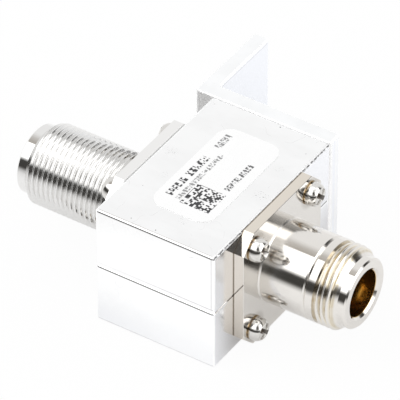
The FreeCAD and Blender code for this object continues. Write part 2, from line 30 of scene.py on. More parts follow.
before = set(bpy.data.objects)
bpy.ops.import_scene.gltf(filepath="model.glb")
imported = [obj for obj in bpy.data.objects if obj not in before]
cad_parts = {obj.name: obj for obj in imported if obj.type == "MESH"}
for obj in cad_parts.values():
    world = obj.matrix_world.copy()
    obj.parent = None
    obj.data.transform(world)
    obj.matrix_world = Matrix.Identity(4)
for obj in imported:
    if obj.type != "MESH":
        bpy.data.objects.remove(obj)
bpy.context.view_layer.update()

# Camera, fitted to the photograph's straight edges
CAMERA_PLACE = Vector((392.130, -578.337, 577.125)) * MM
CAMERA_AIM = Vector((10.672, 1.654, 4.292)) * MM
CAMERA_LENS = 453.854
CAMERA_SENSOR = 36.0
CAMERA_ROLL = math.radians(-0.1704)
CAMERA_NEAR = 50.0
CAMERA_FAR = 20000.0

# Floor, sky and lamp. The floor glows in shares of its own for the camera and in gloss, and the sky is
# dimmer for diffuse light.
FLOOR_Z = -12.7
FLOOR_HALF_SIDE = 3000.0
FLOOR_GLOW_SEEN = 0.95
FLOOR_GLOW_MIRRORED = 0.3
FLOOR_STRENGTH_MIRRORED = 1.3
SKY_STRENGTH_DIFFUSE = 0.8
KEY_AZIMUTH = 222.0
KEY_ELEVATION = 45.0
KEY_DISTANCE = 1200.0
KEY_WIDTH = 1000.0
KEY_HEIGHT = 800.0
KEY_RADIANCE = 1.9

# Cards and soft boxes
CARD_DISTANCE = 850.0
LENS_DISTANCE = 800.0
CARD_LIFT = 0.05
CARD_COLUMNS = 60
CARD_ROWS = 24

# Faces of the housing, and the radius of its edges
HOUSING_START = 2.1
HOUSING_END = 27.1
HOUSING_FRONT = -19.05
HOUSING_BACK = 19.05
HOUSING_TOP = 12.7
EDGE_ROUND = 0.6

# Jacks, with the short one's face and the end of its collar
EQUIPMENT_FACE_X = 29.2
COLLAR_END = 11.0
MOUTH_RADIUS = 4.5
LIP_RADIUS = 6.7
UNDERCUT_RADIUS = 7.45

# Thread of both jacks, its crest and root as shares of the pitch on either side of their middles
PITCH = 25.4 / 24
THREAD_RADIUS = 7.9375
THREAD_COLUMNS = 96
THREAD_ROWS = 20
THREAD_INSET = 0.02
FLANK_DEPTH = 0.587
CREST_HALF = 0.06
ROOT_HALF = 0.05
RIDGE_ROUNDING = 0.12
RIDGE_SAMPLES = 9
SURGE_FIRST_CREST = 0.57
EQUIPMENT_FIRST_CREST = 0.83

# Outlines that the threads stay within, as (distance along X from the flange's outer face, radius)
SURGE_ENVELOPE = ((-21.7, LIP_RADIUS), (-20.4625, THREAD_RADIUS), (0.0, THREAD_RADIUS))
EQUIPMENT_ENVELOPE = (
    (11.5, UNDERCUT_RADIUS), (11.8, THREAD_RADIUS), (14.2125, THREAD_RADIUS), (15.45, LIP_RADIUS),
)

# Flanges
FLANGE_HALF = 12.7
FLANGE_THICKNESS = 2.1
FLANGE_CORNER_CUT = 3.2
RIM_WIDTH = 0.4
RIM_TIGHTENING = 0.7

# Screws of both flanges, with the crown as (height, radius) from the seat to the rim of the recess
SCREW_SPACING = 18.26
SCREW_SEED = 7
SHANK_RADIUS = 1.42
SHANK_LENGTH = 7.6
SHANK_CHAMFER = 0.3
CROWN = (
    (0.0, 2.18), (0.05, 2.27), (0.16, 2.30), (0.45, 2.30), (0.85, 2.27), (1.22, 2.19), (1.54, 2.07),
    (1.82, 1.91), (2.03, 1.73), (2.14, 1.60),
)
HEAD_TOP = 2.4

# Cross recess, its rolled lip as (outwards, down) from the edge, and its floor as shares of the edge
RECESS_HALF_LENGTH = 1.52
RECESS_HALF_WIDTH = 0.47
RECESS_DEPTH = 1.3
RECESS_LIP = ((0.10, 0.0), (0.03, 0.02), (0.0, 0.08))
RECESS_FLOOR_LENGTH = 0.68
RECESS_FLOOR_WIDTH = 0.62
RECESS_FLOOR_RISE = 0.06

# Places this close count as one, when faces are looked up and when vertices are welded
TOUCH = 0.001
CAD_WELD = 0.0001
GRID_WELD = 0.0005

# An angle past a full turn, in radians
PAST_TURN = 7.0


def direction(azimuth, elevation):
    """The unit vector that points to an azimuth, from +X towards +Y, and an elevation, in degrees."""
    a = math.radians(azimuth)
    e = math.radians(elevation)
    return Vector((math.cos(a) * math.cos(e), math.sin(a) * math.cos(e), math.sin(e)))


def smooth_step(value):
    value = min(max(value, 0.0), 1.0)
    return value * value * (3 - 2 * value)


class Tree:
    """Short names for building the nodes of a material or a world, its owner."""

    def __init__(self, owner, output):
        owner.use_nodes = True
        self.owner = owner
        self.tree = owner.node_tree
        self.tree.nodes.clear()
        self.output = self.add(output)

    def add(self, kind, inputs=None, **settings):
        made = self.tree.nodes.new(kind)
        for key, value in settings.items():
            setattr(made, key, value)
        for key, value in (inputs or {}).items():
            self.plug(made.inputs[key], value)
        return made

    def plug(self, socket, value):
        if isinstance(value, bpy.types.NodeSocket):
            self.tree.links.new(value, socket)
        else:
            socket.default_value = value

    def math(self, operation, *values):
        made = self.add("ShaderNodeMath", dict(enumerate(values)), operation=operation)
        return made.outputs[0]

    def times(self, *values):
        """The product of the values."""
        product = values[0]
        for value in values[1:]:
            product = self.math("MULTIPLY", product, value)
        return product

    def largest(self, *values):
        highest = values[0]
        for value in values[1:]:
            highest = self.math("MAXIMUM", highest, value)
        return highest

    def mixed(self, factor, first, second):
        """Two shader nodes, mixed by the factor."""
        made = self.add("ShaderNodeMixShader", {"Fac": factor, 1: first.outputs[0], 2: second.outputs[0]})
        return made.outputs[0]

    def seen_directly(self):
        """1 for rays from the camera, a gloss or a clear material, and 0 for diffuse light."""
        path = self.add("ShaderNodeLightPath").outputs
        return self.largest(path["Is Camera Ray"], path["Is Glossy Ray"], path["Is Transmission Ray"])

    def end(self, shader):
        self.tree.links.new(shader, self.output.inputs["Surface"])


class Graph(Tree):
    """The nodes of a material that follows the place on the object, in millimetres."""

    def __init__(self, name):
        super().__init__(bpy.data.materials.new(name), "ShaderNodeOutputMaterial")
        coordinates = self.add("ShaderNodeTexCoord").outputs
        self.normal = coordinates["Normal"]
        self.place = self.vector("SCALE", coordinates["Object"], scale=1 / MM)
        self.axes = self.split(self.place)

    def vector(self, operation, *values, scale=None):
        made = self.add("ShaderNodeVectorMath", dict(enumerate(values)), operation=operation)
        if scale is not None:
            made.inputs["Scale"].default_value = scale
        return made.outputs["Value" if operation in ("LENGTH", "DISTANCE") else "Vector"]

    def split(self, vector):
        return self.add("ShaderNodeSeparateXYZ", {"Vector": vector}).outputs

    def stretched(self, x, y, z):
        """The place in millimetres, multiplied along each axis."""
        return self.vector("MULTIPLY", self.place, (x, y, z))

    def off_axis(self, place):
        """How far a place is from the X axis."""
        return self.vector("LENGTH", self.vector("MULTIPLY", place, (0.0, 1.0, 1.0)))

    def off_screw(self):
        """How far the place is from the axis of the nearest flange screw."""
        half = SCREW_SPACING / 2
        folded = self.vector("ABSOLUTE", self.place)
        return self.off_axis(self.vector("SUBTRACT", folded, (0.0, half, half)))

    def noise(self, place, scale, detail=2.0, roughness=0.5):
        made = self.add("ShaderNodeTexNoise", {
            "Vector": place, "Scale": scale, "Detail": detail, "Roughness": roughness})
        return made.outputs["Fac"]

    def span(self, value, low, high, to_low=0.0, to_high=1.0):
        """The value's place between low and high, as a smooth step from to_low to to_high."""
        made = self.add("ShaderNodeMapRange", {
            "Value": value, "From Min": low, "From Max": high, "To Min": to_low, "To Max": to_high},
            interpolation_type="SMOOTHSTEP")
        return made.outputs["Result"]

    def between(self, value, low, high, soft):
        """1 where the value lies between low and high, with soft edges."""
        return self.times(self.span(value, low - soft, low + soft),
                          self.span(value, high - soft, high + soft, 1.0, 0.0))

    def more(self, value, mask, amount):
        """The value, raised by the amount where the mask is 1."""
        return self.math("MULTIPLY_ADD", mask, amount, value)

    def blend(self, factor, first, second):
        made = self.add("ShaderNodeMix", {"Factor": factor, 6: first, 7: second}, data_type="RGBA")
        return made.outputs[2]

    def bump(self, height, distance, normal=None):
        inputs = {"Height": height, "Distance": distance * MM, "Strength": 1.0}
        if normal is not None:
            inputs["Normal"] = normal
        return self.add("ShaderNodeBump", inputs).outputs["Normal"]

    def finish(self, colour, roughness, metallic, normal):
        shader = self.add("ShaderNodeBsdfPrincipled", {
            "Base Color": colour, "Roughness": roughness, "Metallic": metallic, "Normal": normal})
        self.end(shader.outputs["BSDF"])
        return self.owner


def rgb(red, green, blue):
    return (red, green, blue, 1.0)


def scaled(colour, factor):
    return rgb(*(channel * factor for channel in colour[:3]))


# Materials

def metal_layers(graph, colour, roughness, grain, grain_depth, ripple, fade=0.955):
    """Cloudy tone, streaked roughness and the fine relief of a worked metal surface."""
    cloud = graph.noise(graph.place, 0.16, 3.0, 0.6)
    streak = graph.noise(graph.stretched(*grain), 1.0, 4.0, 0.6)
    tone = graph.blend(graph.span(cloud, 0.35, 0.7), colour, scaled(colour, fade))
    rough = graph.more(roughness, graph.math("SUBTRACT", cloud, 0.5), roughness * 0.9)
    rough = graph.more(rough, graph.math("SUBTRACT", streak, 0.5), roughness * 0.5)
    relief = graph.bump(streak, grain_depth)
    relief = graph.bump(graph.noise(graph.place, 0.35, 1.0), ripple, relief)
    return tone, rough, relief


# Scuffed patches and single specks on the top face, as (x, y, radius)
SCUFFS = ((24.6, 0.1, 2.0), (4.5, 1.8, 1.9), (3.2, 17.0, 1.2), (23.4, 8.0, 1.1), (7.0, -4.5, 1.2))
SPECKS = (
    (17.1, 18.1, 0.13), (14.3, -18.0, 0.12), (8.9, -17.6, 0.10), (25.0, 14.2, 0.08), (5.6, -9.0, 0.07),
)


def housing_wear(graph):
    """How strong the scuffs, specks and hairline scratches are at a place."""
    grit = graph.span(graph.noise(graph.stretched(2.6, 3.6, 3.0), 1.0, 3.0, 0.8), 0.585, 0.64)
    patches = graph.times(graph.span(graph.noise(graph.place, 0.21, 2.0, 0.5), 0.68, 0.74), 0.8)
    for x, y, reach in SCUFFS:
        far = graph.vector("DISTANCE", graph.place, (x, y, HOUSING_TOP))
        patches = graph.largest(patches, graph.span(far, reach * 0.2, reach, 1.0, 0.0))
    marks = graph.times(patches, grit, 0.55)
    for x, y, reach in SPECKS:
        far = graph.vector("DISTANCE", graph.place, (x, y, HOUSING_TOP))
        marks = graph.largest(marks, graph.span(far, reach * 0.7, reach * 1.2, 0.9, 0.0))
    contour = graph.math("SUBTRACT", graph.noise(graph.place, 0.12, 2.0, 0.4), 0.5)
    line = graph.span(graph.math("ABSOLUTE", contour), 0.0006, 0.0016, 0.22, 0.0)
    parts = graph.span(graph.noise(graph.place, 0.3, 1.0), 0.52, 0.6)
    return graph.largest(marks, graph.times(line, parts))


def housing_burr(graph):
    """The ragged line along the rounded top edge beside the short jack."""
    wander = graph.times(graph.noise(graph.stretched(0.0, 0.9, 0.0), 1.0, 3.0, 0.7), 0.24)
    crest = graph.math("SUBTRACT", graph.axes["X"], HOUSING_END - 0.24)
    off_crest = graph.math("ABSOLUTE", graph.math("SUBTRACT", crest, wander))
    edge = graph.span(off_crest, 0.05, 0.12, 1.0, 0.0)
    ragged = graph.span(graph.noise(graph.stretched(2.0, 1.5, 2.0), 1.0, 4.0, 0.8), 0.42, 0.5)
    return graph.times(edge, ragged, graph.span(graph.axes["Z"], HOUSING_TOP - 0.7, HOUSING_TOP - 0.5))


def painted_edge_lines(graph):
    """Painted dark shade lines on the front, where its rounded edges begin: above the seam, up the corner
    above it, and along the foot.
    """
    x = graph.axes["X"]
    z = graph.axes["Z"]
    front = graph.span(graph.axes["Y"], HOUSING_FRONT + 0.1, HOUSING_FRONT + 0.15, 1.0, 0.0)
    sill = graph.times(graph.between(z, 0.70, 0.82, 0.05), graph.span(x, 4.0, 24.0, 0.2, 0.75))
    corner = HOUSING_END - EDGE_ROUND
    post = graph.times(graph.between(x, corner, corner + 0.1, 0.05), graph.span(z, 0.7, 0.76, 0.0, 0.75))
    foot = graph.times(graph.between(z, -12.25, -12.13, 0.05), 0.6)
    return graph.times(front, graph.largest(sill, post, foot))


def housing_material():
    """Bright aluminium with scuffs, specks and a burred top edge beside the short jack."""
    graph = Graph("housing_metal")
    x = graph.axes["X"]
    y = graph.axes["Y"]
    z = graph.axes["Z"]
    colour = rgb(0.975, 0.977, 0.980)
    tone, rough, relief = metal_layers(graph, colour, 0.07, (0.5, 9.0, 5.0), 0.0003, 0.0008, 0.985)

    # The top face, greyer in cloudy patches
    top = graph.span(z, HOUSING_TOP - 0.08, HOUSING_TOP - 0.01)
    top_clouds = graph.span(graph.noise(graph.stretched(0.09, 0.16, 0.2), 1.0, 3.0, 0.6), 0.36, 0.66)
    tone = graph.blend(graph.times(top, graph.more(0.45, top_clouds, 0.55)), tone, rgb(0.908, 0.909, 0.91))

    # The front, greyer towards the floor: painted shade for the darker floor it mirrors there
    low = graph.times(graph.span(z, -12.0, -3.0, 0.85, 0.0),
                      graph.span(y, HOUSING_FRONT + 0.05, HOUSING_FRONT + 0.15, 1.0, 0.0),
                      graph.span(x, 3.0, 25.0, 1.0, 0.45))
    tone = graph.blend(low, tone, rgb(0.845, 0.853, 0.872))
    # Painted shade lines along the front's rounded edges
    tone = graph.blend(painted_edge_lines(graph), tone, rgb(0.40, 0.385, 0.395))

    # The end with the short jack, with painted shade darkest low beside its flange
    end = graph.span(x, HOUSING_END - 0.05, HOUSING_END - 0.01)
    tone = graph.blend(end, tone, rgb(0.925, 0.935, 0.965))
    # Painted shade in the low corner beside the flange
    corner = graph.times(end,
                         graph.span(y, HOUSING_FRONT, -12.0, 0.2, 0.65),
                         graph.span(z, -12.0, 4.0, 1.0, 0.0))
    tone = graph.blend(corner, tone, rgb(0.47, 0.455, 0.445))
    rough = graph.more(rough, end, 0.10)

    # The rounded edges at both ends of the top and up the back corner are duller
    high_x = HOUSING_END - EDGE_ROUND
    low_x = HOUSING_START + EDGE_ROUND
    edge_z = HOUSING_TOP - EDGE_ROUND
    end_edge = graph.span(x, high_x, high_x + 0.1)
    rolled = graph.math("ADD", end_edge, graph.span(x, low_x - 0.1, low_x, 1.0, 0.0))
    rolled = graph.times(rolled, graph.span(z, edge_z - 0.05, edge_z + 0.1))
    upright = graph.times(end_edge, graph.span(y, HOUSING_BACK - 0.65, HOUSING_BACK - 0.55))
    rough = graph.more(rough, graph.largest(rolled, upright), 0.4)
    turned = graph.times(rolled,
                         graph.span(x, high_x - 0.1, high_x),
                         graph.span(x, HOUSING_END - 0.12, HOUSING_END - 0.04, 0.9, 0.0))
    tone = graph.blend(turned, tone, rgb(0.82, 0.82, 0.825))
    dull = graph.times(rolled, graph.span(x, low_x - 0.1, low_x, 0.85, 0.0))

    # Wear, the burr, and a thin painted shade before the bracket
    burr = housing_burr(graph)
    # A thin painted shade along the top's back edge, before the bracket
    behind = graph.times(graph.span(y, HOUSING_BACK - 0.39, HOUSING_BACK - 0.31),
                         graph.span(z, edge_z + 0.1, edge_z + 0.3, 0.0, 0.3))
    marks = graph.largest(housing_wear(graph), behind, graph.times(burr, 0.8))
    tone = graph.blend(marks, tone, rgb(0.055, 0.053, 0.05))
    rough = graph.more(rough, marks, 0.3)
    relief = graph.bump(burr, 0.02, relief)
    return graph.finish(tone, rough, graph.math("SUBTRACT", 1.0, dull), relief)


def bracket_material():
    """Paler blue-grey aluminium: faint stripes up its end, rougher edges with a slight painted highlight,
    and dull where it is sawn off.
    """
    graph = Graph("bracket_metal")
    x = graph.axes["X"]
    way = graph.split(graph.normal)
    tone, rough, relief = metal_layers(graph, rgb(0.975, 0.982, 0.99), 0.09, (2.0, 2.0, 0.2), 0.0001, 0.001)

    # Stripes on the end beside the short jack
    stripe = graph.span(graph.noise(graph.stretched(0.0, 1.3, 0.01), 1.0, 1.0, 0.4), 0.44, 0.56)
    end = graph.span(x, HOUSING_END - 0.15, HOUSING_END - 0.05)
    tone = graph.blend(graph.times(stripe, end), tone, rgb(0.90, 0.915, 0.955))

    # The inner face of the free leg, with a faint painted shade line under its upper edge
    inner = graph.times(graph.span(way["X"], 0.9, 0.98), graph.span(x, 3.0, 4.0, 1.0, 0.0))
    tone = graph.blend(inner, tone, rgb(0.895, 0.912, 0.955))
    line = graph.between(graph.axes["Z"], HOUSING_TOP - 0.75, HOUSING_TOP - 0.6, 0.05)
    shade_line = graph.times(inner, line, 0.45)
    tone = graph.blend(shade_line, tone, rgb(0.50, 0.49, 0.50))

    # Edges that face no axis are rougher, and painted a little lighter as a highlight
    facing = graph.split(graph.vector("ABSOLUTE", graph.normal))
    flat = graph.largest(facing["X"], facing["Y"], facing["Z"])
    rough_highlit_edges = graph.span(flat, 0.96, 0.995, 1.0, 0.0)
    rough = graph.more(rough, rough_highlit_edges, 0.5)
    tone = graph.blend(rough_highlit_edges, tone, rgb(0.99, 0.99, 0.99))

    # The front face past the housing, beside the long jack, is dull
    sawn = graph.times(graph.span(way["Y"], -0.98, -0.9, 1.0, 0.0),
                       graph.span(x, HOUSING_START - 0.1, HOUSING_START + 0.1, 1.0, 0.0))
    rough = graph.more(rough, sawn, 0.35)
    tone = graph.blend(sawn, tone, rgb(0.87, 0.87, 0.875))
    return graph.finish(tone, rough, 1.0, relief)


def jack_material(name, sign, face_x, colour, rim_colour, seat_share, root_share):
    """Bright nickel-coloured plating, with its own tone on the flange's sides and a painted brassy
    reflection inside the mouth.

    seat_share is how dark the flange's sides are at the housing, and root_share how brown the thread is
    beyond the collar.
    """
    graph = Graph(name)
    tone, rough, relief = metal_layers(graph, colour, 0.07, (7.0, 1.2, 1.2), 0.0006, 0.0012, 0.975)
    radius = graph.off_axis(graph.place)
    depth = graph.times(graph.math("SUBTRACT", graph.axes["X"], face_x), sign)
    outer = graph.span(radius, 11.5, 12.0)
    back = -FLANGE_THICKNESS

    # The flange's sides, with a dark or a dull line where they meet the housing
    tone = graph.blend(graph.span(depth, -0.12, -0.02, 1.0, 0.0), tone, rim_colour)
    seat = graph.times(graph.span(depth, back + 0.1, back + 0.22, seat_share, 0.0), outer)
    tone = graph.blend(seat, tone, rgb(0.20, 0.155, 0.11))
    rear = graph.times(graph.span(depth, back + 0.15, back + 0.25, 1.0 - seat_share, 0.0), outer)
    rough = graph.more(rough, rear, 0.5)

    # Duller close to the flange and on the ridges under their crests
    near_flange = graph.times(graph.span(depth, 0.0, 6.5, 1.0, 0.0), graph.span(radius, 8.6, 8.9, 1.0, 0.0))
    rough = graph.more(rough, near_flange, 0.11)
    ridged = graph.times(graph.span(radius, 6.9, 7.1),
                         graph.span(radius, THREAD_RADIUS - 0.0075, THREAD_RADIUS - 0.0015, 1.0, 0.0))
    rough = graph.more(rough, ridged, 0.05)

    # Stained flanks and brown roots beyond the collar
    stain = graph.more(0.6, graph.span(graph.noise(graph.place, 0.5, 2.0), 0.4, 0.62), 0.4)
    ridges = graph.times(graph.span(radius, 7.0, 7.3),
                         graph.span(depth, COLLAR_END - 0.2, COLLAR_END + 0.05, 0.0, root_share), stain)
    flank = graph.times(graph.span(radius, 7.5, 7.75, 1.0, 0.0), ridges)
    tone = graph.blend(flank, tone, rgb(0.80, 0.745, 0.62))
    root = graph.times(graph.span(radius, 7.36, 7.56, 1.0, 0.0), ridges,
                       graph.span(depth, 11.6, 14.0, 1.0, 0.4))
    tone = graph.blend(root, tone, rgb(0.34, 0.24, 0.11))

    # The bore, tinted brassy: a painted reflection of the gold contact deep inside
    inside = graph.span(radius, MOUTH_RADIUS + 0.02, MOUTH_RADIUS + 0.12, 1.0, 0.0)
    tone = graph.blend(inside, tone, rgb(0.66, 0.46, 0.19))
    rough = graph.more(rough, inside, 0.12)

    # Painted shade on the flange's face round each screw head, darkening the head's mirror image
    dull = graph.times(graph.span(graph.off_screw(), 2.4, 3.6, 0.4, 0.0), graph.span(depth, -0.12, -0.02))
    tone = graph.blend(dull, tone, rgb(0.34, 0.305, 0.265))
    return graph.finish(tone, rough, graph.math("SUBTRACT", 1.0, rear), relief)


def screw_material():
    """Bright plating, with a painted dark gap and golden glint where the head meets the flange, and painted
    shade in the recess.
    """
    graph = Graph("screw_plating")
    tone, rough, relief = metal_layers(graph, rgb(0.72, 0.705, 0.68), 0.10, (1.5, 5.0, 5.0), 0.0008, 0.003)

    # Both flange faces are equally far from the middle between them, and the heads stand outside
    middle = EQUIPMENT_FACE_X / 2
    from_middle = graph.math("ABSOLUTE", graph.math("SUBTRACT", graph.axes["X"], middle))
    height = graph.math("SUBTRACT", from_middle, middle)
    # A painted dark gap and golden glint round the foot of each head
    glint = graph.span(graph.noise(graph.place, 0.9, 2.0), 0.4, 0.6)
    seat_shade_and_glint = graph.times(graph.span(height, 0.14, 0.34, 0.9, 0.0), graph.span(height, -0.1, -0.03))
    tone = graph.blend(seat_shade_and_glint, tone, graph.blend(glint, rgb(0.16, 0.10, 0.05), rgb(0.62, 0.44, 0.22)))

    grime = graph.span(graph.noise(graph.place, 1.7, 3.0, 0.65), 0.56, 0.72)
    tone = graph.blend(graph.times(grime, 0.45), tone, rgb(0.25, 0.22, 0.18))
    rough = graph.more(rough, grime, 0.15)
    # Painted shade in the cross recess
    recess_shade = graph.times(graph.span(graph.off_screw(), 1.4, 1.6, 1.0, 0.0),
                         graph.span(height, 1.25, 2.05, 0.95, 0.0))
    tone = graph.blend(recess_shade, tone, rgb(0.20, 0.17, 0.145))
    return graph.finish(tone, rough, 1.0, relief)


def plain_metal(name, colour, roughness, grain):
    graph = Graph(name)
    tone, rough, relief = metal_layers(graph, colour, roughness, grain, 0.0015, 0.002)
    return graph.finish(tone, rough, 1.0, relief)


def insulator_material():
    graph = Graph("insulator")
    cloud = graph.noise(graph.place, 0.9, 3.0)
    tone = graph.blend(graph.span(cloud, 0.3, 0.7), rgb(0.90, 0.885, 0.85), rgb(0.82, 0.80, 0.75))
    rough = graph.span(cloud, 0.3, 0.7, 0.38, 0.52)
    relief = graph.bump(graph.noise(graph.stretched(4.0, 1.0, 1.0), 1.0, 3.0), 0.004)
    return graph.finish(tone, rough, 0.0, relief)


def ceramic_material():
    graph = Graph("ceramic")
    cloud = graph.noise(graph.place, 1.4, 4.0)
    tone = graph.blend(graph.span(cloud, 0.3, 0.7), rgb(0.80, 0.75, 0.66), rgb(0.70, 0.64, 0.55))
    relief = graph.bump(graph.noise(graph.place, 7.0, 4.0), 0.006)
    return graph.finish(tone, graph.span(cloud, 0.3, 0.7, 0.5, 0.68), 0.0, relief)


# Printed rows of the label, as (centre x, half height, start y, end y, block length, darkness)
LABEL_LINES = (
    (10.8, 0.74, -8.7, -3.2, 0.92, 1.0),
    (10.8, 0.76, -2.4, 3.7, 1.16, 1.0),
    (10.85, 0.70, 6.9, 11.1, 0.84, 0.75),
    (12.8, 0.52, -8.9, 5.6, 0.74, 0.7),
    (18.8, 0.60, -2.3, 6.0, 0.76, 0.9),
)
LABEL_STROKES_ALONG = 3.0
LABEL_STROKES_ACROSS = 4.0
LABEL_ROW_STEP = 10.0
LABEL_FIELD_X = 16.6
LABEL_FIELD_Y = -6.4
LABEL_FIELD_HALF = 3.0
LABEL_FIELD_CELL = 0.36
LABEL_SOFTNESS = 0.05


def dice_at(graph, **cell):
    """A random number from 0 to 1 for each whole-numbered cell."""
    spot = graph.add("ShaderNodeCombineXYZ", cell)
    dimensions = "3D" if "Z" in cell else "2D"
    dice = graph.add("ShaderNodeTexWhiteNoise", {"Vector": spot.outputs[0]}, noise_dimensions=dimensions)
    return dice.outputs["Value"]


def label_material():
    """White film with rows of broken blocks and a speckled square, standing for the print."""
    graph = Graph("label_film")
    x = graph.axes["X"]
    y = graph.axes["Y"]
    cloud = graph.noise(graph.place, 0.5, 3.0)
    tone = graph.blend(graph.span(cloud, 0.3, 0.7), rgb(1.0, 1.0, 1.0), rgb(0.99, 0.99, 0.99))
    ink = rgb(0.03, 0.03, 0.033)
    for row, (centre, half, start, end, block, dark) in enumerate(LABEL_LINES):
        steps = graph.math("DIVIDE", graph.math("SUBTRACT", y, start), block)
        within = graph.math("FRACT", steps)
        across = graph.math("DIVIDE", graph.math("SUBTRACT", x, centre - half), 2 * half)
        level = graph.math("FLOOR", graph.times(across, LABEL_STROKES_ACROSS))
        dice = dice_at(graph,
                       X=graph.math("FLOOR", steps),
                       Y=graph.math("FLOOR", graph.times(within, LABEL_STROKES_ALONG)),
                       Z=graph.math("ADD", level, LABEL_ROW_STEP * row))
        mask = graph.times(graph.between(within, 0.14, 0.9, 0.07),
                           graph.span(dice, 0.36, 0.44),
                           graph.between(across, 0.0, 1.0, LABEL_SOFTNESS),
                           graph.between(y, start, end, LABEL_SOFTNESS))
        tone = graph.blend(graph.times(mask, dark), tone, ink)
    across = graph.math("SUBTRACT", x, LABEL_FIELD_X)
    along = graph.math("SUBTRACT", y, LABEL_FIELD_Y)
    dice = dice_at(graph,
                   X=graph.math("FLOOR", graph.math("DIVIDE", across, LABEL_FIELD_CELL)),
                   Y=graph.math("FLOOR", graph.math("DIVIDE", along, LABEL_FIELD_CELL)))
    far = graph.largest(graph.math("ABSOLUTE", across), graph.math("ABSOLUTE", along))
    square = graph.span(far, LABEL_FIELD_HALF - 0.04, LABEL_FIELD_HALF + 0.04, 1.0, 0.0)
    tone = graph.blend(graph.times(square, graph.span(dice, 0.46, 0.5)), tone, ink)
    fibre = graph.noise(graph.place, 9.0, 2.0)
    return graph.finish(tone, graph.span(fibre, 0.3, 0.7, 0.34, 0.44), 0.0, graph.bump(fibre, 0.0012))


# Geometry

def cad_copy(node):
    """A welded copy of the bare faces of a CAD node's mesh, open for work."""
    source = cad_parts[node].data
    work = bmesh.new()
    corners = [work.verts.new(vertex.co) for vertex in source.vertices]
    for polygon in source.polygons:
        work.faces.new([corners[index] for index in polygon.vertices])
    bmesh.ops.remove_doubles(work, verts=work.verts, dist=CAD_WELD * MM)
    return work


def make_piece(work, name, material, sharp_degrees=30.0):
    """A shaded object from a finished bmesh."""
    bmesh.ops.recalc_face_normals(work, faces=work.faces)
    mesh = bpy.data.meshes.new(name)
    work.to_mesh(mesh)
    work.free()
    mesh.shade_smooth()
    mesh.set_sharp_from_angle(angle=math.radians(sharp_degrees))
    mesh.materials.append(material)
    piece = bpy.data.objects.new(name, mesh)
    bpy.context.scene.collection.objects.link(piece)
    return piece


def radius_of(vertex):
    return math.hypot(vertex.co.y, vertex.co.z) / MM


def angle_of(vertex):
    return math.atan2(vertex.co.z, vertex.co.y) % (2 * math.pi)


def next_angle(ring, index):
    """The angle of the vertex after a place in a sorted ring, and more than any angle at its end."""
    if index + 1 < len(ring):
        return angle_of(ring[index + 1])
    return PAST_TURN + (index >= len(ring))


def stitch(work, ring_a, ring_b):
    """Closes the gap between two rings of vertices about the X axis, whatever their counts."""
    ring_a = sorted(ring_a, key=angle_of)
    ring_b = sorted(ring_b, key=angle_of)
    i = j = 0
    while i < len(ring_a) or j < len(ring_b):
        a = ring_a[i % len(ring_a)]
        b = ring_b[j % len(ring_b)]
        if next_angle(ring_a, i) <= next_angle(ring_b, j):
            i += 1
            work.faces.new((a, ring_a[i % len(ring_a)], b))
        else:
            j += 1
            work.faces.new((a, ring_b[j % len(ring_b)], b))


def envelope_radius(envelope, x):
    """The largest radius allowed at x, from (x, radius) corners."""
    for (x0, r0), (x1, r1) in zip(envelope, envelope[1:]):
        if x <= x1:
            return r0 + (r1 - r0) * (x - x0) / (x1 - x0)
    return envelope[-1][1]


def ridge_cut(phase):
    """How far a rounded ridge lies under its crest line, at a share of the pitch from a crest."""
    total = 0.0
    for step in range(RIDGE_SAMPLES):
        place = (phase + RIDGE_ROUNDING * (step / (RIDGE_SAMPLES - 1) - 0.5)) % 1.0
        from_crest = min(place, 1.0 - place)
        total += min(max((from_crest - CREST_HALF) / (0.5 - ROOT_HALF - CREST_HALF), 0.0), 1.0)
    return FLANK_DEPTH * total / RIDGE_SAMPLES


def plain_faces(work, envelope):
    """The faces of a jack that make up the surface of the envelope, without those across its ends."""
    low = envelope[0][0]
    high = envelope[-1][0]
    smallest = min(radius for _, radius in envelope)
    plain = []
    for face in work.faces:
        xs = [vertex.co.x / MM for vertex in face.verts]
        radii = [radius_of(vertex) for vertex in face.verts]
        inside = low - TOUCH < min(xs) and max(xs) < high + TOUCH
        if inside and min(radii) > smallest - TOUCH and max(radii) < THREAD_RADIUS + TOUCH:
            if max(xs) - min(xs) > TOUCH:
                plain.append(face)
    return plain


def end_rings(vertices, middle):
    """The vertices on either side of a plane across the X axis."""
    low = [vertex for vertex in vertices if vertex.co.x / MM < middle]
    high = [vertex for vertex in vertices if vertex.co.x / MM >= middle]
    return low, high


